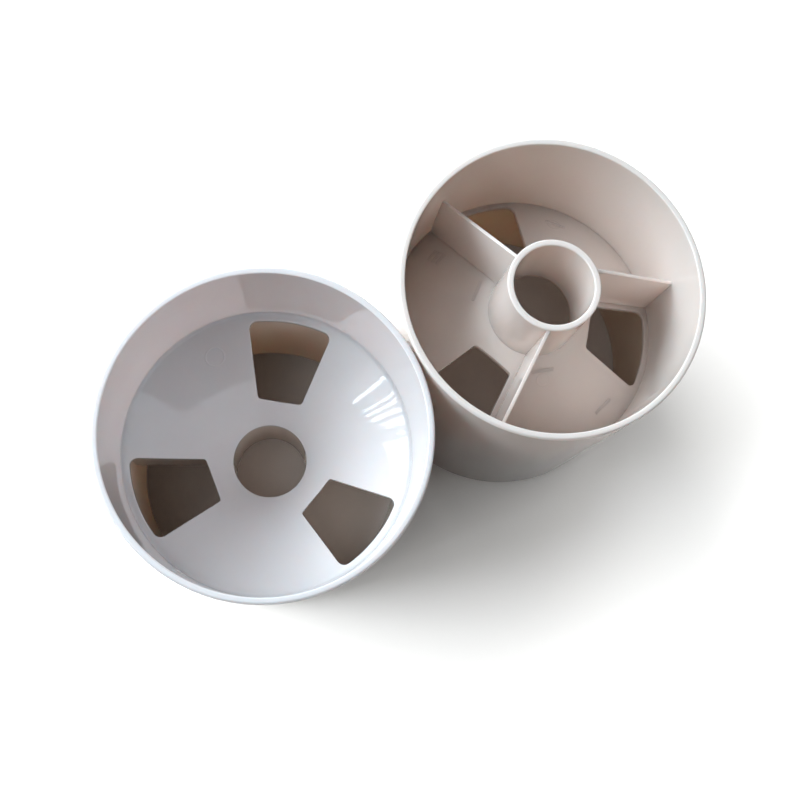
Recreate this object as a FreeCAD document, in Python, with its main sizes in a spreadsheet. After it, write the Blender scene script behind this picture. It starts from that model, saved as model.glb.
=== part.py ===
import FreeCAD, Part
import math
import os

import Sketcher

# A pair of golf hole cups, side by side on the ground: one stands mouth up, the other mouth down.
# Each cup is a tapered sleeve with a funnel floor part way down. A flagstick tube hangs from the
# funnel's centre hole to the foot, and three ribs brace the tube against the sleeve. Three drain
# windows pass through the funnel floor.
# Row frame: millimetres, +Z up, origin on the ground midway between the cups, +X from the upright
# cup to the inverted one. A cup's own frame has its foot at Z = 0, its mouth at the top and one
# drain window centred on +X.

SIZES = (
    ("cup_height", "102"),
    ("rim_radius", "54"),
    ("rim_inner_radius", "51.7"),
    ("foot_radius", "52.6"),
    ("foot_inner_radius", "50.3"),
    ("seat_radius", "51.4"),
    ("rim_round", "0.9"),
    ("lip_round", "0.4"),
    ("bore_radius", "13.8"),
    ("hole_edge_height", "32.6"),
    ("hole_edge_round", "0.5"),
    ("floor_slope", "0.661"),
    ("floor_depth", "2.7"),
    ("cove_size", "1.1"),
    ("cove_radius", "2.5"),
    ("tube_end_radius", "16"),
    ("tube_root_radius", "16.6"),
    ("tube_end_round", "0.5"),
    ("window_inner_distance", "22.2"),
    ("window_inner_width", "16.6"),
    ("window_outer_radius", "49"),
    ("window_side_angle", "16.5"),
    ("window_inner_corner", "1.2"),
    ("window_outer_corner", "2.8"),
    ("rib_thickness", "1.2"),
    ("rib_offset", "4.1"),
    ("rib_low_height", "1"),
    ("rib_high_height", "24"),
    ("pad_proud", "0.3"),
    ("pad_width", "1"),
    ("pad_length", "8"),
    ("short_pad_length", "5"),
    ("cup_spacing", "107.36"),
    ("upright_turn", "53.4"),
    ("inverted_turn", "82"),
)

WINDOWS = 3
RIBS = 3

# Ejector pads under the funnel floor: radius and angle in the cup's frame, and the length's size
# name.
PADS = (
    (43.3, 39.2, "pad_length"),
    (43.3, 156.0, "pad_length"),
    (39.9, 327.8, "short_pad_length"),
    (41.7, 327.8, "short_pad_length"),
    (43.5, 327.8, "short_pad_length"),
    (21.6, 312.6, "pad_length"),
    (21.6, 190.0, "pad_length"),
)

doc = FreeCAD.newDocument("HoleCups")
sheet = doc.addObject("Spreadsheet::Sheet", "Sizes")
for row, (name, value) in enumerate(SIZES, start=1):
    sheet.set(f"A{row}", name)
    sheet.set(f"B{row}", value)
    sheet.setAlias(f"B{row}", name)
doc.recompute()


def size(name):
    """A driving size's value, in millimetres or degrees."""
    return float(getattr(sheet, name))


# Heights and radii that several pieces share, as expressions on the sheet.
def floor_top(radius):
    """Height of the funnel floor's upper face at a radius."""
    return f"(Sizes.hole_edge_height + ({radius} - Sizes.bore_radius) * Sizes.floor_slope)"


def floor_under(radius):
    """Height of the funnel floor's underside at a radius."""
    return f"({floor_top(radius)} - Sizes.floor_depth)"


def wall_radius(height):
    """Inner radius of the sleeve below the funnel floor at a height."""
    return f"(Sizes.foot_inner_radius + {LOWER_DRAFT} * {height})"


def tube_radius(height):
    """Outer radius of the flagstick tube at a height."""
    return f"(Sizes.tube_end_radius + {TUBE_DRAFT} * {height})"


COVE_TOP = f"({floor_top('Sizes.seat_radius')} + Sizes.cove_size)"
LOWER_DRAFT = f"((Sizes.seat_radius - Sizes.foot_inner_radius) / {COVE_TOP})"
TUBE_ROOT_HEIGHT = floor_under("Sizes.tube_root_radius")
TUBE_DRAFT = f"((Sizes.tube_root_radius - Sizes.tube_end_radius) / {TUBE_ROOT_HEIGHT})"
UNDER_EDGE_RADIUS = (
    f"((Sizes.foot_inner_radius + {LOWER_DRAFT} * {floor_under('0')})"
    f" / (1 - {LOWER_DRAFT} * Sizes.floor_slope))"
)


def add_outline(sketch, corners, arcs=None):
    """Draw a closed outline through corners given as expression pairs.

    arcs maps the index of a corner to the radius of the counter-clockwise arc that leaves it.
    """
    arcs = arcs or {}
    points = [
        FreeCAD.Vector(float(sheet.evalExpression(x)), float(sheet.evalExpression(y)), 0)
        for x, y in corners
    ]
    for index, start in enumerate(points):
        end = points[(index + 1) % len(points)]
        if index not in arcs:
            sketch.addGeometry(Part.LineSegment(start, end))
            continue
        radius = float(sheet.evalExpression(arcs[index]))
        chord = end - start
        left = FreeCAD.Vector(-chord.y, chord.x, 0).normalize()
        rise = math.sqrt(radius**2 - (chord.Length / 2) ** 2)
        centre = (start + end) / 2 + left * rise
        first = math.atan2(start.y - centre.y, start.x - centre.x)
        last = math.atan2(end.y - centre.y, end.x - centre.x)
        circle = Part.Circle(centre, FreeCAD.Vector(0, 0, 1), radius)
        sketch.addGeometry(Part.ArcOfCircle(circle, first, last))
    for index, (x, y) in enumerate(corners):
        following = (index + 1) % len(corners)
        sketch.addConstraint(Sketcher.Constraint("Coincident", index, 2, following, 1))
        for kind, expression in (("DistanceX", x), ("DistanceY", y)):
            value = float(sheet.evalExpression(expression))
            number = sketch.addConstraint(Sketcher.Constraint(kind, -1, 1, index, 1, value))
            sketch.setExpression(f"Constraints[{number}]", expression)
    for index, radius in arcs.items():
        value = float(sheet.evalExpression(radius))
        number = sketch.addConstraint(Sketcher.Constraint("Radius", index, value))
        sketch.setExpression(f"Constraints[{number}]", radius)


def plane_of(body, role):
    """One of a body's own origin planes."""
    return next(item for item in body.Origin.OriginFeatures if item.Role == role)


def add_body(label):
    body = doc.addObject("PartDesign::Body", label)
    body.Label = label
    return body


def add_sketch(body, name, role):
    sketch = body.newObject("Sketcher::SketchObject", name)
    sketch.AttachmentSupport = [(plane_of(body, role), "")]
    sketch.MapMode = "FlatFace"
    return sketch


def revolve(body, name, corners, arcs=None):
    """Turn a radius and height outline round the body's Z axis."""
    sketch = add_sketch(body, f"{name}_outline", "XZ_Plane")
    add_outline(sketch, corners, arcs)
    turned = body.newObject("PartDesign::Revolution", name)
    turned.Profile = sketch
    turned.ReferenceAxis = (sketch, ["V_Axis"])
    turned.Angle = 360
    doc.recompute()
    return turned


def round_edges(body, base, name, radius, wanted):
    """Round the edges of base that wanted(edge) picks."""
    names = [f"Edge{n}" for n, edge in enumerate(base.Shape.Edges, start=1) if wanted(edge)]
    rounded = body.newObject("PartDesign::Fillet", name)
    rounded.Base = (base, names)
    rounded.setExpression("Radius", radius)
    doc.recompute()
    return rounded


def is_ring(edge, radius, height=None):
    """True for a full circle of this radius about the Z axis, at this height if one is given."""
    if not isinstance(edge.Curve, Part.Circle) or not edge.Closed:
        return False
    circle = edge.Curve
    level = height is None or abs(circle.Center.z - height) < 0.01
    return level and abs(circle.Radius - radius) < 0.01


def is_upright_line(edge, low_radius, high_radius):
    """True for a straight edge along Z between two distances from the axis."""
    if not isinstance(edge.Curve, Part.Line):
        return False
    start, end = (vertex.Point for vertex in edge.Vertexes)
    radius = math.hypot(start.x, start.y)
    return math.hypot(end.x - start.x, end.y - start.y) < 0.01 and low_radius < radius < high_radius


def make_sleeve(prefix):
    """The tapered outer wall, with rounded rim and foot."""
    body = add_body(f"{prefix}_sleeve")
    wall = revolve(
        body,
        "wall",
        (
            ("Sizes.foot_inner_radius", "0"),
            ("Sizes.foot_radius", "0"),
            ("Sizes.rim_radius", "Sizes.cup_height"),
            ("Sizes.rim_inner_radius", "Sizes.cup_height"),
            ("Sizes.seat_radius", COVE_TOP),
        ),
    )
    top = size("cup_height")
    outer = round_edges(
        body,
        wall,
        "outer_rounds",
        "Sizes.rim_round",
        lambda edge: is_ring(edge, size("rim_radius"), top) or is_ring(edge, size("foot_radius"), 0),
    )
    round_edges(
        body,
        outer,
        "inner_rounds",
        "Sizes.lip_round",
        lambda edge: is_ring(edge, size("rim_inner_radius"), top)
        or is_ring(edge, size("foot_inner_radius"), 0),
    )
    return body


def make_floor(prefix):
    """The funnel floor, with a cove at the sleeve, a centre hole and three drain windows."""
    body = add_body(f"{prefix}_funnel_floor")
    cove_start = "(Sizes.seat_radius - Sizes.cove_size)"
    plate = revolve(
        body,
        "plate",
        (
            ("Sizes.bore_radius", floor_top("Sizes.bore_radius")),
            (cove_start, floor_top(cove_start)),
            ("Sizes.seat_radius", COVE_TOP),
            (UNDER_EDGE_RADIUS, floor_under(UNDER_EDGE_RADIUS)),
            ("Sizes.bore_radius", floor_under("Sizes.bore_radius")),
        ),
        arcs={1: "Sizes.cove_radius"},
    )
    edge_height = size("hole_edge_height")
    holed = round_edges(
        body,
        plate,
        "hole_edge",
        "Sizes.hole_edge_round",
        lambda edge: is_ring(edge, size("bore_radius"), edge_height),
    )
    sketch = add_sketch(body, "window_outline", "XY_Plane")
    add_window(sketch)
    pocket = body.newObject("PartDesign::Pocket", "window")
    pocket.Profile = sketch
    pocket.Type = "ThroughAll"
    pocket.Reversed = True
    doc.recompute()
    pattern = body.newObject("PartDesign::PolarPattern", "windows")
    pattern.Originals = [pocket]
    pattern.Axis = (sketch, ["N_Axis"])
    pattern.Angle = 360
    pattern.Occurrences = WINDOWS
    body.Tip = pattern
    doc.recompute()
    if pattern.Shape.Volume > 0.9 * holed.Shape.Volume:
        raise RuntimeError("the drain windows were not cut")
    middle = (size("window_inner_distance") + size("window_outer_radius")) / 2
    inner = round_edges(
        body,
        pattern,
        "inner_corners",
        "Sizes.window_inner_corner",
        lambda edge: is_upright_line(edge, size("bore_radius"), middle),
    )
    round_edges(
        body,
        inner,
        "outer_corners",
        "Sizes.window_outer_corner",
        lambda edge: is_upright_line(edge, middle, size("rim_radius")),
    )
    return body


def add_window(sketch):
    """One drain window about the sketch's X axis: straight inner edge and sides, curved outer edge."""
    side_angle = math.radians(size("window_side_angle"))
    inner_half = size("window_inner_width") / 2
    near = FreeCAD.Vector(size("window_inner_distance"), inner_half, 0)
    outer_half = inner_half + (size("window_outer_radius") - near.x) * math.tan(side_angle)
    end_angle = math.asin(outer_half / size("window_outer_radius"))
    far = FreeCAD.Vector(math.cos(end_angle), math.sin(end_angle), 0) * size("window_outer_radius")
    circle = Part.Circle(FreeCAD.Vector(), FreeCAD.Vector(0, 0, 1), size("window_outer_radius"))
    mirrored = [FreeCAD.Vector(point.x, -point.y, 0) for point in (near, far)]
    sketch.addGeometry(Part.ArcOfCircle(circle, -end_angle, end_angle))
    sketch.addGeometry(Part.LineSegment(mirrored[0], near))
    sketch.addGeometry(Part.LineSegment(*mirrored))
    sketch.addGeometry(Part.LineSegment(near, far))
    outer_arc, inner_edge, low_side, high_side = range(4)
    sketch.addConstraint(Sketcher.Constraint("Coincident", outer_arc, 3, -1, 1))
    sketch.addConstraint(Sketcher.Constraint("Symmetric", inner_edge, 1, inner_edge, 2, -1))
    for side, end in ((low_side, 1), (high_side, 2)):
        sketch.addConstraint(Sketcher.Constraint("Coincident", side, 1, inner_edge, end))
        sketch.addConstraint(Sketcher.Constraint("Coincident", side, 2, outer_arc, end))
    radius = Sketcher.Constraint("Radius", outer_arc, size("window_outer_radius"))
    distance = Sketcher.Constraint("DistanceX", inner_edge, 1, near.x)
    width = Sketcher.Constraint("DistanceY", inner_edge, 1, inner_edge, 2, 2 * inner_half)
    low_angle = Sketcher.Constraint("Angle", low_side, -side_angle)
    high_angle = Sketcher.Constraint("Angle", high_side, side_angle)
    for constraint, expression in (
        (radius, "Sizes.window_outer_radius"),
        (distance, "Sizes.window_inner_distance"),
        (width, "Sizes.window_inner_width"),
        (low_angle, "-Sizes.window_side_angle * 1 deg"),
        (high_angle, "Sizes.window_side_angle * 1 deg"),
    ):
        number = sketch.addConstraint(constraint)
        sketch.setExpression(f"Constraints[{number}]", expression)


def make_tube(prefix):
    """The flagstick tube, from the funnel floor's underside down to the foot."""
    body = add_body(f"{prefix}_flagstick_tube")
    wall = revolve(
        body,
        "tube",
        (
            ("Sizes.bore_radius", "0"),
            ("Sizes.tube_end_radius", "0"),
            ("Sizes.tube_root_radius", TUBE_ROOT_HEIGHT),
            ("Sizes.bore_radius", floor_under("Sizes.bore_radius")),
        ),
    )
    round_edges(
        body,
        wall,
        "end_rounds",
        "Sizes.tube_end_round",
        lambda edge: is_ring(edge, size("tube_end_radius"), 0)
        or is_ring(edge, size("bore_radius"), 0),
    )
    return body


def make_ring(name, corners):
    """A ring turned round Z from a loose outline, for trimming a slab or a pad."""
    sketch = doc.addObject("Sketcher::SketchObject", f"{name}_outline")
    sketch.Placement.Rotation = FreeCAD.Rotation(FreeCAD.Vector(1, 0, 0), 90)
    add_outline(sketch, corners)
    ring = doc.addObject("Part::Revolution", name)
    ring.Source = sketch
    ring.Axis = FreeCAD.Vector(0, 0, 1)
    ring.Base = FreeCAD.Vector(0, 0, 0)
    ring.Angle = 360
    ring.Solid = True
    return ring


def make_rib(prefix, number):
    """A rib that runs beside the cup's axis, parallel to one side of a drain window."""
    label = f"{prefix}_rib_{number}"
    ring = make_ring(
        f"{label}_ring",
        (
            (tube_radius("Sizes.rib_low_height"), "Sizes.rib_low_height"),
            (wall_radius("Sizes.rib_high_height"), "Sizes.rib_high_height"),
            (UNDER_EDGE_RADIUS, floor_under(UNDER_EDGE_RADIUS)),
            ("Sizes.tube_root_radius", TUBE_ROOT_HEIGHT),
        ),
    )
    slab = doc.addObject("Part::Box", f"{label}_slab")
    slab.setExpression("Length", "Sizes.rim_radius")
    slab.setExpression("Width", "Sizes.rib_thickness")
    slab.setExpression("Height", "Sizes.cup_height")
    slab.setExpression("Placement.Base.y", "-Sizes.rib_offset - Sizes.rib_thickness / 2")
    rib = doc.addObject("Part::Common", label)
    rib.Base = ring
    rib.Tool = slab
    rib.Label = label
    return rib


def make_pads(prefix):
    """The raised ejector pads under the funnel floor."""
    label = f"{prefix}_ejector_pads"
    inner = "(Sizes.tube_root_radius + Sizes.pad_width)"
    outer = "(Sizes.seat_radius - Sizes.pad_width)"
    layer = make_ring(
        f"{label}_layer",
        (
            (inner, f"{floor_under(inner)} - Sizes.pad_proud"),
            (outer, f"{floor_under(outer)} - Sizes.pad_proud"),
            (outer, floor_under(outer)),
            (inner, floor_under(inner)),
        ),
    )
    blocks = []
    for number, (radius, angle, length) in enumerate(PADS, start=1):
        block = doc.addObject("Part::Box", f"{label}_block_{number}")
        block.setExpression("Length", "Sizes.pad_width")
        block.setExpression("Width", f"Sizes.{length}")
        block.setExpression("Height", "Sizes.cup_height")
        turn = FreeCAD.Rotation(FreeCAD.Vector(0, 0, 1), angle)
        corner = FreeCAD.Vector(radius - size("pad_width") / 2, -size(length) / 2, 0)
        block.Placement = FreeCAD.Placement(turn.multVec(corner), turn)
        blocks.append(block)
    group = doc.addObject("Part::MultiFuse", f"{label}_blocks")
    group.Shapes = blocks
    pads = doc.addObject("Part::Common", label)
    pads.Base = layer
    pads.Tool = group
    pads.Label = label
    return pads


def cup_placement(prefix):
    """Where a cup stands: the inverted one is turned over about a level line."""
    if prefix == "upright":
        turn = FreeCAD.Rotation(FreeCAD.Vector(0, 0, 1), size("upright_turn"))
        return FreeCAD.Placement(FreeCAD.Vector(-size("cup_spacing") / 2, 0, 0), turn)
    half = math.radians(size("inverted_turn") / 2)
    turn = FreeCAD.Rotation(FreeCAD.Vector(math.cos(half), math.sin(half), 0), 180)
    return FreeCAD.Placement(FreeCAD.Vector(size("cup_spacing") / 2, 0, size("cup_height")), turn)


def make_cup(prefix):
    """All of one cup's pieces, placed."""
    pieces = [make_sleeve(prefix), make_floor(prefix), make_tube(prefix), make_pads(prefix)]
    place = cup_placement(prefix)
    for piece in pieces:
        piece.Placement = place
    for number in range(1, RIBS + 1):
        rib = make_rib(prefix, number)
        angle = (number - 1) * 360 / RIBS - size("window_side_angle")
        turn = FreeCAD.Rotation(FreeCAD.Vector(0, 0, 1), angle)
        rib.Placement = place * FreeCAD.Placement(FreeCAD.Vector(0, 0, 0), turn)
        pieces.append(rib)
    return pieces


pieces = make_cup("upright") + make_cup("inverted")
doc.recompute()

for item in doc.Objects:
    if {"Invalid", "Error"} & set(item.State):
        raise RuntimeError(f"{item.Label} failed: {item.State}")
for piece in pieces:
    if piece.Shape.isNull() or not piece.Shape.isValid():
        raise RuntimeError(f"{piece.Label} has no valid shape")

os.makedirs("parts", exist_ok=True)
for piece in pieces:
    piece.Shape.exportStep(f"parts/{piece.Label}.step")
    print(piece.Label, len(piece.Shape.Solids), "solids", round(piece.Shape.Volume / 1000, 3), "cm3")
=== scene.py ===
import math

import bmesh
import bpy
from mathutils import Matrix, Vector


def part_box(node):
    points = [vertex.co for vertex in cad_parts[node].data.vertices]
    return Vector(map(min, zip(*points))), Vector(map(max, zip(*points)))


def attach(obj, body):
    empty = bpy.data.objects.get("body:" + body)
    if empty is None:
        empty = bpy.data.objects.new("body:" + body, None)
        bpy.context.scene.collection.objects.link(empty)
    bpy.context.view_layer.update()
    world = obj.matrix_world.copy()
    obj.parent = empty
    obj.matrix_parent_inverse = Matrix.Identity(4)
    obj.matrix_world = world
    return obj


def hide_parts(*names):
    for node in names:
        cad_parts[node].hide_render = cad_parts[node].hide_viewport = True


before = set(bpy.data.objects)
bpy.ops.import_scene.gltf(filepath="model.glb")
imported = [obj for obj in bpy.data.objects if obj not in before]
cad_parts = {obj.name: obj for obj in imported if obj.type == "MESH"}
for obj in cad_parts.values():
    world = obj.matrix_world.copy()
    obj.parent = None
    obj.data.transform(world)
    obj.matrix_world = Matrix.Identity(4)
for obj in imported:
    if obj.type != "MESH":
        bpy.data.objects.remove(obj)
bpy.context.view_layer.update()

MM = 0.001
CUPS = ("upright", "inverted")
RIBS = (1, 2, 3)

# How each cup is turned about its own axis: the heading of its first drain window in degrees.
UPRIGHT_TURN = 53.4
INVERTED_TURN = 82.0

# Sizes in millimetres, in a cup's own frame: foot at Z = 0, mouth at the top, one drain window
# centred on +X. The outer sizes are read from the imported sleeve, whose mesh is faceted, so they
# are taken to the nearest tenth. The others repeat the CAD model's.
SLEEVE_LOW, SLEEVE_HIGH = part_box("upright_sleeve")
CUP_HEIGHT = round(SLEEVE_HIGH.z / MM, 1)
RIM_RADIUS = round((SLEEVE_HIGH.y - SLEEVE_LOW.y) / 2 / MM, 1)
WALL = 2.3
SLEEVE_TAPER = 1.4     # how much smaller the foot's radius is than the rim's
RIM_INNER_RADIUS = RIM_RADIUS - WALL
FOOT_RADIUS = RIM_RADIUS - SLEEVE_TAPER
FOOT_INNER_RADIUS = FOOT_RADIUS - WALL
SEAT_RADIUS = 51.4
RIM_ROUND = 0.9
LIP_ROUND = 0.4
BORE_RADIUS = 13.8
HOLE_EDGE_HEIGHT = 32.6
HOLE_EDGE_ROUND = 0.5
FLOOR_SLOPE = 0.661
FLOOR_DEPTH = 2.7
COVE_SIZE = 1.1
COVE_RADIUS = 2.5
TUBE_END_RADIUS = 16.0
TUBE_ROOT_RADIUS = 16.6
TUBE_END_ROUND = 0.5
WINDOW_INNER_DISTANCE = 22.2
WINDOW_INNER_WIDTH = 16.6
WINDOW_OUTER_RADIUS = 49.0
WINDOW_SIDE_ANGLE = math.radians(16.5)
WINDOW_INNER_CORNER = 1.2
WINDOW_OUTER_CORNER = 2.8
WINDOW_TOP_ROUND = 0.3
WINDOW_UNDER_ROUND = 0.15
RIB_THICKNESS = 1.2
RIB_OFFSET = 4.1
RIB_LOW_HEIGHT = 1.0
RIB_HIGH_HEIGHT = 24.0
RIB_ROUND = 0.3
PAD_PROUD = 0.3
PAD_LENGTH = 8.0
SHORT_PAD_LENGTH = 5.0
PAD_WIDTH = 1.0
WINDOWS = 3
SECTOR = math.radians(360 / WINDOWS)
BURY = 0.4         # how far a piece runs on inside the piece that it is moulded to
SUPPORT = 0.25     # distance of the edge loop that keeps a long face flat beside a small round
WELD = 0.001       # points closer than this are one point
SLEEVE_SIDES = 240
TUBE_SIDES = 160
RIB_STEPS = 24     # stretches along a rib
PAD_STEPS = 16     # stretches along an ejector pad
SHARP = math.radians(40)     # edges that turn more than this are shaded sharp

# Stretches round half a drain window and round half a third of the floor, the two outlines that
# the floor's faces run between: 20 + 8 + 12 + 8 + 16 comes to the same as 24 + 20 + 20.
WINDOW_ARC_STEPS = 20
CORNER_STEPS = 8
WINDOW_SIDE_STEPS = 12
WINDOW_INNER_STEPS = 16
SECTOR_ARC_STEPS = 24
SECTOR_SIDE_STEPS = 20
SECTOR_INNER_STEPS = 20
COVE_SIDES = 2 * SECTOR_ARC_STEPS * WINDOWS
HOLE_EDGE_SIDES = 2 * SECTOR_INNER_STEPS * WINDOWS
SHEET_RINGS = 10             # from a window's edge to the edge of its third of the floor

# Stretches in the small rounds, and how far the sheet keeps from a window's edge.
HOLE_ROUND_STEPS = 5
TOP_ROUND_STEPS = 4
UNDER_ROUND_STEPS = 3
COVE_STEPS = 6
RIB_ROUND_STEPS = 4
WINDOW_SUPPORT = SUPPORT / 3

# Ejector pads under the funnel floor: radius, angle in degrees, length.
PADS = (
    (43.3, 39.2, PAD_LENGTH),
    (43.3, 156.0, PAD_LENGTH),
    (39.9, 327.8, SHORT_PAD_LENGTH),
    (41.7, 327.8, SHORT_PAD_LENGTH),
    (43.5, 327.8, SHORT_PAD_LENGTH),
    (21.6, 312.6, PAD_LENGTH),
    (21.6, 190.0, PAD_LENGTH),
)


def cup_matrix(cup):
    """A cup's own frame, in millimetres, to the row frame, in metres."""
    low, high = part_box(f"{cup}_sleeve")
    axis_x = (low.x + high.x) / 2
    if cup == "upright":
        turn = Matrix.Rotation(math.radians(UPRIGHT_TURN), 4, "Z")
        place = Matrix.Translation((axis_x, 0, 0))
    else:
        half = math.radians(INVERTED_TURN) / 2
        turn = Matrix.Rotation(math.pi, 4, (math.cos(half), math.sin(half), 0))
        place = Matrix.Translation((axis_x, 0, high.z))
    return place @ turn @ Matrix.Scale(MM, 4)


# ---- shared heights and radii -------------------------------------------------------------------

def floor_top(radius):
    """Height of the funnel floor's upper face."""
    return HOLE_EDGE_HEIGHT + (radius - BORE_RADIUS) * FLOOR_SLOPE


def floor_under(radius):
    """Height of the funnel floor's lower face."""
    return floor_top(radius) - FLOOR_DEPTH


COVE_START = SEAT_RADIUS - COVE_SIZE
COVE_TOP = floor_top(SEAT_RADIUS) + COVE_SIZE


def wall_radius(height):
    """Inner radius of the sleeve below the funnel floor."""
    return FOOT_INNER_RADIUS + (SEAT_RADIUS - FOOT_INNER_RADIUS) * height / COVE_TOP


def tube_radius(height):
    """Outer radius of the flagstick tube."""
    root_height = floor_under(TUBE_ROOT_RADIUS)
    return TUBE_END_RADIUS + (TUBE_ROOT_RADIUS - TUBE_END_RADIUS) * height / root_height


def polar(radius, angle, height):
    """A point from its radius, its angle in radians and its height."""
    return Vector((radius * math.cos(angle), radius * math.sin(angle), height))


def steps(start, end, count):
    """count + 1 evenly spaced values from start to end."""
    return [start + (end - start) * n / count for n in range(count + 1)]


# ---- mesh tools ---------------------------------------------------------------------------------

class Skin:
    """One mesh in a cup's own frame, built from rows of points."""

    def __init__(self):
        self.points = []
        self.faces = []

    def add_rows(self, rows, loop=True, ring=False, caps=False):
        """Join rows of equal length with quads. loop closes each row, ring joins last to first."""
        first = len(self.points)
        width = len(rows[0])
        for row in rows:
            self.points.extend(row)
        for r in range(len(rows) if ring else len(rows) - 1):
            below = first + r * width
            above = first + (r + 1) % len(rows) * width
            for c in range(width if loop else width - 1):
                d = (c + 1) % width
                self.faces.append((below + c, below + d, above + d, above + c))
        if caps:
            last = first + (len(rows) - 1) * width
            self.faces.append(tuple(range(first, first + width)))
            self.faces.append(tuple(range(last, last + width)))

    def add_turned(self, profile, angles, closed=False):
        """Turn a radius and height profile through the angles, a full turn."""
        rows = [[polar(radius, angle, height) for angle in angles] for radius, height in profile]
        self.add_rows(rows, ring=closed)

    def build(self, name, cup, node):
        """Make the object, in the row frame, riding on its cup."""
        mesh = bpy.data.meshes.new(name)
        mesh.from_pydata(self.points, [], self.faces)
        work = bmesh.new()
        work.from_mesh(mesh)
        bmesh.ops.remove_doubles(work, verts=work.verts, dist=WELD)
        bmesh.ops.recalc_face_normals(work, faces=work.faces)
        work.to_mesh(mesh)
        work.free()
        attribute = mesh.attributes.new("cup_place", "FLOAT_VECTOR", "POINT")
        flat = [value for vertex in mesh.vertices for value in vertex.co]
        attribute.data.foreach_set("vector", flat)
        mesh.transform(cup_matrix(cup))
        for polygon in mesh.polygons:
            polygon.use_smooth = True
        mesh.set_sharp_from_angle(angle=SHARP)
        mesh.materials.append(PLASTICS[cup])
        piece = bpy.data.objects.new(name, mesh)
        bpy.context.scene.collection.objects.link(piece)
        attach(piece, f"{cup}_cup")
        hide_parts(node)


def arc(centre, radius, start, end, count):
    """Points of an arc in a profile, from one angle to another."""
    return [
        (centre[0] + radius * math.cos(a), centre[1] + radius * math.sin(a))
        for a in steps(start, end, count)
    ]


def rounded(corners, count=6):
    """A closed profile of (radius, height, rounding) corners, with loops beside each round."""
    points = []
    for index, (x, y, size) in enumerate(corners):
        corner = Vector((x, y))
        if not size:
            points.append((x, y))
            continue
        before = Vector(corners[index - 1][:2]) - corner
        after = Vector(corners[(index + 1) % len(corners)][:2]) - corner
        before.normalize()
        after.normalize()
        half = before.angle(after) / 2
        tangent = size / math.tan(half)
        centre = corner + (before + after).normalized() * size / math.sin(half)
        first = corner + before * tangent - centre
        last = corner + after * tangent - centre
        turn = first.angle_signed(last)
        points.append(tuple(corner + before * (tangent + SUPPORT)))
        for step in range(count + 1):
            spoke = first.copy()
            spoke.rotate(Matrix.Rotation(-turn * step / count, 2))
            points.append(tuple(centre + spoke))
        points.append(tuple(corner + after * (tangent + SUPPORT)))
    return points


def full_turn(count):
    """Evenly spaced angles all the way round."""
    return [2 * math.pi * n / count for n in range(count)]


# ---- the cup's pieces ---------------------------------------------------------------------------

def make_sleeve(cup):
    """The tapered outer wall: rounded rim and foot, a slight kink where the funnel floor joins."""
    profile = rounded((
        (FOOT_INNER_RADIUS, 0, LIP_ROUND),
        (FOOT_RADIUS, 0, RIM_ROUND),
        (RIM_RADIUS, CUP_HEIGHT, RIM_ROUND),
        (RIM_INNER_RADIUS, CUP_HEIGHT, LIP_ROUND),
        (SEAT_RADIUS, COVE_TOP, 0),
    ))
    skin = Skin()
    skin.add_turned(profile, full_turn(SLEEVE_SIDES), closed=True)
    skin.build(f"{cup}_sleeve_shell", cup, f"{cup}_sleeve")


def window_outline(grow):
    """Radius and angle of points round a drain window, all grown outward by grow."""
    slope = math.tan(WINDOW_SIDE_ANGLE)
    side_normal = math.pi / 2 + WINDOW_SIDE_ANGLE
    side_at_axis = WINDOW_INNER_WIDTH / 2 - WINDOW_INNER_DISTANCE * slope

    # The inner corner's centre lies a corner's radius inside both the inner edge and the side.
    inset = WINDOW_INNER_CORNER / math.cos(WINDOW_SIDE_ANGLE)
    inner_x = WINDOW_INNER_DISTANCE + WINDOW_INNER_CORNER
    inner_centre = (inner_x, side_at_axis + inner_x * slope - inset)
    inner_size = WINDOW_INNER_CORNER + grow

    # The outer corner's centre lies a corner's radius inside both the outer arc and the side.
    reach = WINDOW_OUTER_RADIUS - WINDOW_OUTER_CORNER
    start = side_at_axis * math.cos(WINDOW_SIDE_ANGLE) - WINDOW_OUTER_CORNER
    outer_angle = WINDOW_SIDE_ANGLE + math.asin(start / reach)
    outer_centre = (reach * math.cos(outer_angle), reach * math.sin(outer_angle))
    outer_size = WINDOW_OUTER_CORNER + grow

    outer_edge = arc((0, 0), WINDOW_OUTER_RADIUS + grow, 0, outer_angle, WINDOW_ARC_STEPS)
    outer_corner = arc(outer_centre, outer_size, outer_angle, side_normal, CORNER_STEPS)
    inner_corner = arc(inner_centre, inner_size, side_normal, math.pi, CORNER_STEPS)
    side = [
        tuple(Vector(outer_corner[-1]).lerp(Vector(inner_corner[0]), n / WINDOW_SIDE_STEPS))
        for n in range(1, WINDOW_SIDE_STEPS)
    ]
    edge_x, edge_y = inner_corner[-1]
    inner_edge = [(edge_x, y) for y in steps(edge_y, 0, WINDOW_INNER_STEPS)]
    half = outer_edge + outer_corner[1:] + side + inner_corner + inner_edge[1:]
    return both_halves([(math.hypot(x, y), math.atan2(y, x)) for x, y in half])


def sector_outline(inner, outer):
    """Radius and angle of points round a third of the floor, one for each point of the window."""
    side = SECTOR / 2
    return both_halves(
        [(outer, a) for a in steps(0, side, SECTOR_ARC_STEPS)]
        + [(r, side) for r in steps(outer, inner, SECTOR_SIDE_STEPS)[1:]]
        + [(inner, a) for a in steps(side, 0, SECTOR_INNER_STEPS)[1:]]
    )


def both_halves(half):
    """Close a half outline, given as radius and angle, with its mirror image."""
    return half + [(r, -a) for r, a in half[-2:0:-1]]


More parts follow.
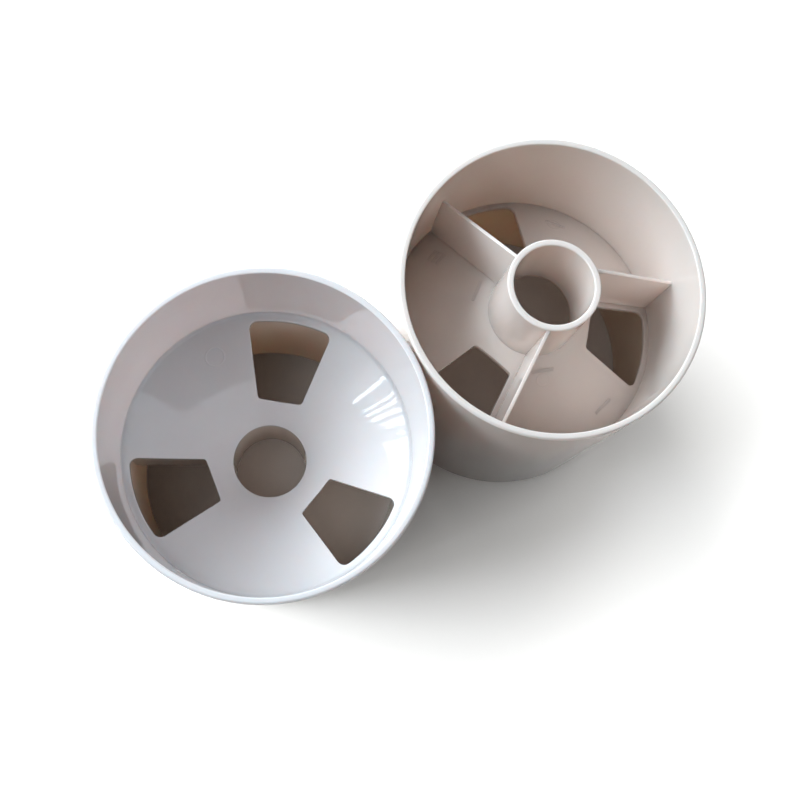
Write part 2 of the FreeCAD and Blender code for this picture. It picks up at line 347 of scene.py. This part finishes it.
def make_floor(cup):
    """The funnel floor: three sectors with rounded windows, a rounded hole edge and a cove."""
    lean = math.atan(FLOOR_SLOPE)
    hole_middle = BORE_RADIUS + HOLE_EDGE_ROUND
    hole_centre = (hole_middle, floor_top(hole_middle) - HOLE_EDGE_ROUND / math.cos(lean))
    hole_edge = arc(hole_centre, HOLE_EDGE_ROUND, math.pi / 2 + lean, math.pi, HOLE_ROUND_STEPS)
    hole_start = hole_edge[0][0]

    def sheet_rows(window_edge, height):
        """Rings from a window's edge out to the sector's edge, on one face of the floor."""
        near = window_outline(window_edge + WINDOW_SUPPORT)
        far = sector_outline(hole_start, COVE_START)
        rows = []
        for share in steps(0, 1, SHEET_RINGS):
            mixed = [
                (n[0] + (f[0] - n[0]) * share, n[1] + (f[1] - n[1]) * share)
                for n, f in zip(near, far)
            ]
            rows.append([(r, a, height(r)) for r, a in mixed])
        return rows

    edge = []
    for a in steps(0, math.pi / 2, TOP_ROUND_STEPS):
        grow = WINDOW_TOP_ROUND * (1 - math.sin(a))
        drop = WINDOW_TOP_ROUND * (1 - math.cos(a))
        edge.append([(r, t, floor_top(r) - drop) for r, t in window_outline(grow)])
    for a in steps(math.pi / 2, 0, UNDER_ROUND_STEPS):
        grow = WINDOW_UNDER_ROUND * (1 - math.sin(a))
        lift = WINDOW_UNDER_ROUND * (1 - math.cos(a))
        edge.append([(r, t, floor_under(r) + lift) for r, t in window_outline(grow)])
    top = sheet_rows(WINDOW_TOP_ROUND, floor_top)[::-1]
    under = sheet_rows(WINDOW_UNDER_ROUND, floor_under)
    skin = Skin()
    for window in range(WINDOWS):
        skin.add_rows([
            [polar(r, a + window * SECTOR, z) for r, a, z in row] for row in top + edge + under
        ])

    chord = Vector((SEAT_RADIUS - COVE_START, COVE_TOP - floor_top(COVE_START)))
    rise = math.sqrt(COVE_RADIUS**2 - (chord.length / 2) ** 2)
    left = Vector((-chord.y, chord.x)).normalized()
    middle = Vector((COVE_START, floor_top(COVE_START))) + chord / 2 + left * rise
    start = math.atan2(floor_top(COVE_START) - middle.y, COVE_START - middle.x)
    end = math.atan2(COVE_TOP - middle.y, SEAT_RADIUS - middle.x)
    buried = SEAT_RADIUS + BURY
    rim = arc(middle, COVE_RADIUS, start, end, COVE_STEPS) + [
        (buried, COVE_TOP),
        (buried, floor_under(buried)),
        (COVE_START, floor_under(COVE_START)),
    ]
    hole = hole_edge + [
        (BORE_RADIUS, hole_edge[-1][1] - SUPPORT),
        (BORE_RADIUS, floor_under(BORE_RADIUS)),
        (hole_start, floor_under(hole_start)),
    ]
    skin.add_turned(rim, full_turn(COVE_SIDES))
    skin.add_turned(hole, full_turn(HOLE_EDGE_SIDES))
    skin.build(f"{cup}_funnel_floor_shell", cup, f"{cup}_funnel_floor")


def make_tube(cup):
    """The flagstick tube, its root buried in the funnel floor."""
    root = floor_under(TUBE_ROOT_RADIUS)
    bore_top = floor_under(BORE_RADIUS)
    profile = rounded((
        (BORE_RADIUS, 0, TUBE_END_ROUND),
        (TUBE_END_RADIUS, 0, TUBE_END_ROUND),
        (TUBE_ROOT_RADIUS, root, 0),
        (TUBE_ROOT_RADIUS - BURY, root + BURY, 0),
        (BORE_RADIUS + BURY, bore_top + BURY, 0),
        (BORE_RADIUS, bore_top, 0),
    ))
    skin = Skin()
    skin.add_turned(profile, full_turn(TUBE_SIDES), closed=True)
    skin.build(f"{cup}_flagstick_tube_wall", cup, f"{cup}_flagstick_tube")


def make_rib(cup, number):
    """A rib with a rounded free edge, its ends and root buried in its neighbours."""
    inner = tube_radius(RIB_LOW_HEIGHT)
    outer = wall_radius(RIB_HIGH_HEIGHT)
    slope = (RIB_HIGH_HEIGHT - RIB_LOW_HEIGHT) / (outer - inner)
    start = math.sqrt(inner**2 - RIB_OFFSET**2) - BURY
    end = math.sqrt(outer**2 - RIB_OFFSET**2) + BURY
    turn = Matrix.Rotation((number - 1) * SECTOR - WINDOW_SIDE_ANGLE, 4, "Z")
    half = RIB_THICKNESS / 2
    flat = half - RIB_ROUND
    rows = []
    for x in steps(start, end, RIB_STEPS):
        radius = math.hypot(x, RIB_OFFSET)
        low = RIB_LOW_HEIGHT + (radius - inner) * slope
        high = floor_under(radius) + BURY
        section = [(half, high), (half, low + RIB_ROUND + SUPPORT)]
        round_height = low + RIB_ROUND
        section += arc((flat, round_height), RIB_ROUND, 0, -math.pi / 2, RIB_ROUND_STEPS)
        section += arc((-flat, round_height), RIB_ROUND, -math.pi / 2, -math.pi, RIB_ROUND_STEPS)
        section += [(-half, low + RIB_ROUND + SUPPORT), (-half, high)]
        rows.append([turn @ Vector((x, y - RIB_OFFSET, z)) for y, z in section])
    skin = Skin()
    skin.add_rows(rows, caps=True)
    skin.build(f"{cup}_rib_{number}_web", cup, f"{cup}_rib_{number}")


def make_pads(cup):
    """The raised ejector pads, which follow the underside of the funnel floor."""
    skin = Skin()
    for radius, degrees, length in PADS:
        turn = Matrix.Rotation(math.radians(degrees), 4, "Z")
        round_off = PAD_PROUD / 2
        across = PAD_WIDTH / 2
        section = (
            (-across, -PAD_PROUD),
            (-across, round_off),
            (-across + round_off, PAD_PROUD),
            (across - round_off, PAD_PROUD),
            (across, round_off),
            (across, -PAD_PROUD),
        )
        rows = []
        for y in steps(-length / 2, length / 2, PAD_STEPS):
            row = []
            for x, proud in section:
                place = turn @ Vector((radius + x, y, 0))
                place.z = floor_under(math.hypot(place.x, place.y)) - proud
                row.append(place)
            rows.append(row)
        skin.add_rows(rows, caps=True)
    skin.build(f"{cup}_ejector_bars", cup, f"{cup}_ejector_pads")


# ---- materials ----------------------------------------------------------------------------------

# Noise scales, per millimetre of the cup's own frame, the noises' detail, the stretch of a noise
# that is used, and the roughness from clean to hazy.
CLOUD_SCALE = 0.035
HAZE_SCALE = 0.05
RIPPLE_SCALE = 0.5
CLOUD_DETAIL = 3.0
FINE_DETAIL = 2.0
NOISE_MIDDLE = (0.3, 0.7)
HAZE_ROUGHNESS = (0.03, 0.06)

# Strengths of the bumps, and their heights in metres.
RIPPLE_STRENGTH = 0.05
RIPPLE_HEIGHT = 0.0002
PIN_STRENGTH = 0.9
PIN_HEIGHT = 0.0001

# The plastic itself: polypropylene's refraction, a thin clear skin, and light carried through the
# wall: its share, its reach for red, green and blue, and the reach's scale in metres.
PLASTIC_IOR = 1.49
SKIN_WEIGHT = 0.2
SKIN_ROUGHNESS = 0.03
CARRIED_WEIGHT = 0.4
CARRIED_REACH = (1.0, 0.6, 0.5)
CARRIED_SCALE = 0.008

# The painted glow keeps inside the sleeve: it fades out between these radii, within the wall.
PAINTED_GLOW_FADE = (SEAT_RADIUS + 0.9, SEAT_RADIUS + 0.6)

# Round marks of mould pins, over and under the floor: radius and angle of the centre, height of
# the surface there, radius of the mark. Then the half width of the mark's line. All millimetres.
PIN_MARKS = (
    (41.3, 38.3, floor_top(41.3), 3.5),
    (24.6, 190.0, floor_under(24.6), 2.4),
)
PIN_LINE = 0.4

# Painted glow: a warm tint painted into the base colour for light come through the wall, and the
# heights, measured from the slope of the floor carried in to the axis, between which it sets in.
PAINTED_GLOW_TINT = (1.0, 0.90, 0.78)
FLOOR_TOP_ON_AXIS = HOLE_EDGE_HEIGHT - BORE_RADIUS * FLOOR_SLOPE
UNDER_FLOOR = (FLOOR_TOP_ON_AXIS - 1.0, FLOOR_TOP_ON_AXIS - FLOOR_DEPTH)
OVER_FLOOR = (FLOOR_TOP_ON_AXIS - FLOOR_DEPTH + 1.0, FLOOR_TOP_ON_AXIS)

# The two cups' whites differ a little, by painted light: the upright cup's is painted cooler, as
# if lit by daylight, the inverted cup's warmer, as painted warm shade from light bounced round its
# deep inside.
# Light tone, then dark tone.
UPRIGHT_TONES = ((0.87, 0.80, 0.79), (0.85, 0.78, 0.765))
INVERTED_TONES = ((0.89, 0.77, 0.71), (0.87, 0.745, 0.68))


def new_material(name):
    """A material with one plain shader, and the handles to its nodes."""
    material = bpy.data.materials.new(name)
    material.use_nodes = True
    nodes = material.node_tree.nodes
    nodes.clear()
    output = nodes.new("ShaderNodeOutputMaterial")
    shader = nodes.new("ShaderNodeBsdfPrincipled")
    material.node_tree.links.new(shader.outputs[0], output.inputs[0])
    return material, nodes, material.node_tree.links, shader


def add_noise(nodes, links, source, scale, detail):
    """Noise over the cup's own frame."""
    noise = nodes.new("ShaderNodeTexNoise")
    noise.inputs["Scale"].default_value = scale
    noise.inputs["Detail"].default_value = detail
    links.new(source, noise.inputs["Vector"])
    return noise.outputs["Fac"]


def add_range(nodes, links, source, low, high):
    """Map a noise's middle stretch to low and high."""
    mapped = nodes.new("ShaderNodeMapRange")
    mapped.inputs["From Min"].default_value = NOISE_MIDDLE[0]
    mapped.inputs["From Max"].default_value = NOISE_MIDDLE[1]
    mapped.inputs["To Min"].default_value = low
    mapped.inputs["To Max"].default_value = high
    links.new(source, mapped.inputs["Value"])
    return mapped.outputs["Result"]


def add_ramp(nodes, links, value, low, high):
    """0 at the low value rising to 1 at the high one."""
    ramp = nodes.new("ShaderNodeMapRange")
    ramp.inputs["From Min"].default_value = low
    ramp.inputs["From Max"].default_value = high
    links.new(value, ramp.inputs["Value"])
    return ramp.outputs["Result"]


def add_math(nodes, links, operation, first, second):
    """A sum on two values, either of which may be a plain number."""
    node = nodes.new("ShaderNodeMath")
    node.operation = operation
    for entry, value in zip(node.inputs, (first, second)):
        if isinstance(value, (int, float)):
            entry.default_value = value
        else:
            links.new(value, entry)
    return node.outputs[0]


def add_pin_mark(nodes, links, source, radius, degrees, height, mark_radius):
    """A fine raised ring, as a mould pin leaves: 1 on the ring's line, 0 off it."""
    span = nodes.new("ShaderNodeVectorMath")
    span.operation = "DISTANCE"
    span.inputs[1].default_value = polar(radius, math.radians(degrees), height)
    links.new(source, span.inputs[0])
    off_line = add_math(nodes, links, "SUBTRACT", span.outputs["Value"], mark_radius)
    return add_ramp(nodes, links, add_math(nodes, links, "ABSOLUTE", off_line, 0), PIN_LINE, 0)


def make_plastic(name, light_tone, dark_tone, painted_glow_side):
    """Glossy white injection-moulded plastic: faint cloudiness, ripple, handling haze and a
    painted warm glow.
    """
    material, nodes, links, shader = new_material(name)
    place = nodes.new("ShaderNodeAttribute")
    place.attribute_name = "cup_place"
    source = place.outputs["Vector"]

    tint = nodes.new("ShaderNodeMix")
    tint.data_type = "RGBA"
    tint.inputs[6].default_value = (*dark_tone, 1)
    tint.inputs[7].default_value = (*light_tone, 1)
    cloud = add_noise(nodes, links, source, CLOUD_SCALE, CLOUD_DETAIL)
    links.new(add_range(nodes, links, cloud, 0, 1), tint.inputs[0])

    # Painted glow: the base colour on the side of the floor nearer the ground is tinted warm,
    # standing in for light come through the thin wall.
    radial = nodes.new("ShaderNodeVectorMath")
    radial.operation = "MULTIPLY"
    radial.inputs[1].default_value = (1, 1, 0)
    links.new(source, radial.inputs[0])
    radius = nodes.new("ShaderNodeVectorMath")
    radius.operation = "LENGTH"
    links.new(radial.outputs[0], radius.inputs[0])
    place_parts = nodes.new("ShaderNodeSeparateXYZ")
    links.new(source, place_parts.inputs[0])
    rise = add_math(nodes, links, "MULTIPLY", radius.outputs["Value"], FLOOR_SLOPE)
    over_floor = add_math(nodes, links, "SUBTRACT", place_parts.outputs["Z"], rise)
    side = add_ramp(nodes, links, over_floor, *painted_glow_side)
    inside = add_ramp(nodes, links, radius.outputs["Value"], *PAINTED_GLOW_FADE)
    painted_glow_mix = nodes.new("ShaderNodeMix")
    painted_glow_mix.data_type = "RGBA"
    painted_glow_mix.blend_type = "MULTIPLY"
    painted_glow_mix.inputs[7].default_value = (*PAINTED_GLOW_TINT, 1)
    links.new(add_math(nodes, links, "MULTIPLY", side, inside), painted_glow_mix.inputs[0])
    links.new(tint.outputs[2], painted_glow_mix.inputs[6])
    links.new(painted_glow_mix.outputs[2], shader.inputs["Base Color"])

    haze = add_noise(nodes, links, source, HAZE_SCALE, FINE_DETAIL)
    links.new(add_range(nodes, links, haze, *HAZE_ROUGHNESS), shader.inputs["Roughness"])

    ripple = nodes.new("ShaderNodeBump")
    ripple.inputs["Strength"].default_value = RIPPLE_STRENGTH
    ripple.inputs["Distance"].default_value = RIPPLE_HEIGHT
    ripples = add_noise(nodes, links, source, RIPPLE_SCALE, FINE_DETAIL)
    links.new(ripples, ripple.inputs["Height"])

    marks = [add_pin_mark(nodes, links, source, *mark) for mark in PIN_MARKS]
    pins = nodes.new("ShaderNodeBump")
    pins.inputs["Strength"].default_value = PIN_STRENGTH
    pins.inputs["Distance"].default_value = PIN_HEIGHT
    links.new(add_math(nodes, links, "MAXIMUM", *marks), pins.inputs["Height"])
    links.new(ripple.outputs[0], pins.inputs["Normal"])
    links.new(pins.outputs[0], shader.inputs["Normal"])

    shader.inputs["IOR"].default_value = PLASTIC_IOR
    shader.inputs["Coat Weight"].default_value = SKIN_WEIGHT
    shader.inputs["Coat Roughness"].default_value = SKIN_ROUGHNESS
    shader.inputs["Subsurface Weight"].default_value = CARRIED_WEIGHT
    shader.inputs["Subsurface Radius"].default_value = CARRIED_REACH
    shader.inputs["Subsurface Scale"].default_value = CARRIED_SCALE
    return material


def make_floor_material():
    """Plain pale studio floor."""
    material, nodes, links, shader = new_material("studio_floor")
    shader.inputs["Base Color"].default_value = (*STAGE_COLOUR, 1)
    shader.inputs["Roughness"].default_value = STAGE_ROUGHNESS
    return material


# ---- stage, light and camera --------------------------------------------------------------------

# The floor's half width in metres, and its surface.
STAGE_REACH = 1.8
STAGE_COLOUR = (0.96, 0.89, 0.82)
STAGE_ROUGHNESS = 0.9

# The room's own dim light, and how bright it looks where the camera sees it past the floor.
ROOM_COLOUR = (1.0, 0.95, 0.91)
ROOM_BRIGHTNESS = 0.04
BACKDROP_BRIGHTNESS = 0.8

# The camera's place in metres, how far it leans from straight down and towards which heading,
# the heading that is up in the image, its lens and sensor in millimetres, and how near it sees,
# in metres.
CAMERA_PLACE = Vector((-0.07122, -0.05286, 0.42142))
CAMERA_TILT = math.radians(12.91)
CAMERA_HEADING = math.radians(34.95)
CAMERA_UP_HEADING = math.radians(61.67)
CAMERA_LENS = 45.98
CAMERA_SENSOR = 36.0
CAMERA_NEAR = 0.01

# Lamps stand this far off, in metres. Every lamp is a name, a heading and an elevation in degrees,
# a width and a height in metres, a power in watts and a colour.
LAMP_DISTANCE = 3.0
DAYLIGHT = (0.88, 1.0, 1.1)
SHEER_LIGHT = (0.94, 1.0, 1.02)
LOW_LIGHT = (1.0, 0.97, 0.9)
FLOOR_LIGHT = (0.95, 1.0, 1.06)

# A curtained window to the image's left lights the cups: a bright curtain and a sheer part
# further round.
CURTAIN_LAMPS = (
    ("curtain", 118, 36, (3.0, 1.8), 106, DAYLIGHT),
    ("sheer", 155, 40, (2.8, 2.2), 15, SHEER_LIGHT),
)

# Narrow gaps in the sheer curtain show in the gloss: the heading and the width of each in degrees,
# then their elevation in degrees, height in metres and watts for each metre of width.
GAPS = (
    (176.0, 1.5),
    (168.0, 0.8),
    (165.0, 1.0),
    (161.3, 1.6),
    (157.6, 1.3),
    (155.6, 1.3),
    (151.5, 0.7),
    (149.0, 1.0),
    (146.5, 0.6),
)
GAP_ELEVATION = 41.5
GAP_HEIGHT = 1.2
GAP_POWER = 46

# Soft light from above and from the room's other sides.
FILL_LAMPS = (
    ("sky", 160, 68, (1.8, 1.8), 7, DAYLIGHT),
    ("right_fill", -25, 35, (1.8, 1.8), 12, DAYLIGHT),
    ("side_fill", 70, 30, (1.8, 1.8), 18, DAYLIGHT),
    ("low_fill", 90, 12, (1.8, 1.2), 11, LOW_LIGHT),
)

# The floor is lit whiter than the cups, by lamps of its own, and it passes none of it on.
FLOOR_LAMPS = (
    ("floor_key", 125, 44, (4.0, 1.4), 125, FLOOR_LIGHT),
    ("floor_right", 15, 28, (2.0, 1.2), 29, FLOOR_LIGHT),
    ("floor_front", 195, 28, (2.0, 1.2), 24, FLOOR_LIGHT),
)


def make_stage():
    """A plain level floor."""
    mesh = bpy.data.meshes.new("studio_floor")
    reach = STAGE_REACH
    corners = [(-reach, -reach, 0), (reach, -reach, 0), (reach, reach, 0), (-reach, reach, 0)]
    mesh.from_pydata(corners, [], [(0, 1, 2, 3)])
    mesh.materials.append(make_floor_material())
    floor = bpy.data.objects.new("studio_floor", mesh)
    bpy.context.scene.collection.objects.link(floor)
    return floor


def add_light(name, heading, elevation, size, power, colour):
    """A rectangular soft light aimed at the cups, from a heading and elevation in degrees."""
    data = bpy.data.lights.new(name, "AREA")
    data.shape = "RECTANGLE"
    data.size, data.size_y = size
    data.energy = power
    data.color = colour
    lamp = bpy.data.objects.new(name, data)
    away = polar(math.cos(math.radians(elevation)), math.radians(heading), 0)
    away.z = math.sin(math.radians(elevation))
    lamp.location = away * LAMP_DISTANCE + Vector((0, 0, CUP_HEIGHT * MM / 2))
    lamp.rotation_euler = away.to_track_quat("Z", "Y").to_euler()
    bpy.context.scene.collection.objects.link(lamp)
    return lamp


def make_world():
    """A dim warm room for the light, pale where it is seen past the floor's edge."""
    world = bpy.data.worlds.new("studio")
    world.use_nodes = True
    nodes = world.node_tree.nodes
    links = world.node_tree.links
    background = nodes["Background"]
    background.inputs["Color"].default_value = (*ROOM_COLOUR, 1)
    path = nodes.new("ShaderNodeLightPath")
    seen = add_math(nodes, links, "MULTIPLY", path.outputs["Is Camera Ray"], BACKDROP_BRIGHTNESS)
    strength = add_math(nodes, links, "MAXIMUM", seen, ROOM_BRIGHTNESS)
    links.new(strength, background.inputs["Strength"])
    bpy.context.scene.world = world


def make_camera():
    """The camera, looking down at the pair."""
    data = bpy.data.cameras.new("camera")
    data.lens = CAMERA_LENS
    data.sensor_width = CAMERA_SENSOR
    data.clip_start = CAMERA_NEAR
    camera = bpy.data.objects.new("camera", data)
    forward = polar(math.sin(CAMERA_TILT), CAMERA_HEADING, -math.cos(CAMERA_TILT))
    right = forward.cross(polar(1, CAMERA_UP_HEADING, 0)).normalized()
    up = right.cross(forward)
    turn = Matrix((right, up, -forward)).transposed().to_4x4()
    camera.matrix_world = Matrix.Translation(CAMERA_PLACE) @ turn
    bpy.context.scene.collection.objects.link(camera)
    bpy.context.scene.camera = camera


# One plastic in lit and shaded copies: painted cool light on the upright cup, painted warm shade
# on the inverted one.
PLASTICS = {
    "upright": make_plastic("white_plastic_painted_cool_light", *UPRIGHT_TONES, UNDER_FLOOR),
    "inverted": make_plastic("white_plastic_painted_warm_shade", *INVERTED_TONES, OVER_FLOOR),
}
for cup in CUPS:
    make_sleeve(cup)
    make_floor(cup)
    make_tube(cup)
    make_pads(cup)
    for rib in RIBS:
        make_rib(cup, rib)

stage = make_stage()
make_world()
make_camera()

for lamp_settings in CURTAIN_LAMPS:
    add_light(*lamp_settings)
for heading, degrees_wide in GAPS:
    width = LAMP_DISTANCE * math.radians(degrees_wide)
    size = (width, GAP_HEIGHT)
    add_light(f"gap_{heading:.0f}", heading, GAP_ELEVATION, size, GAP_POWER * width, DAYLIGHT)
for lamp_settings in FILL_LAMPS:
    add_light(*lamp_settings)

floor_only = bpy.data.collections.new("floor_only")
floor_only.objects.link(stage)
stage.visible_diffuse = False
for lamp_settings in FLOOR_LAMPS:
    add_light(*lamp_settings).light_linking.receiver_collection = floor_only
bpy.context.scene.view_settings.view_transform = "Standard"
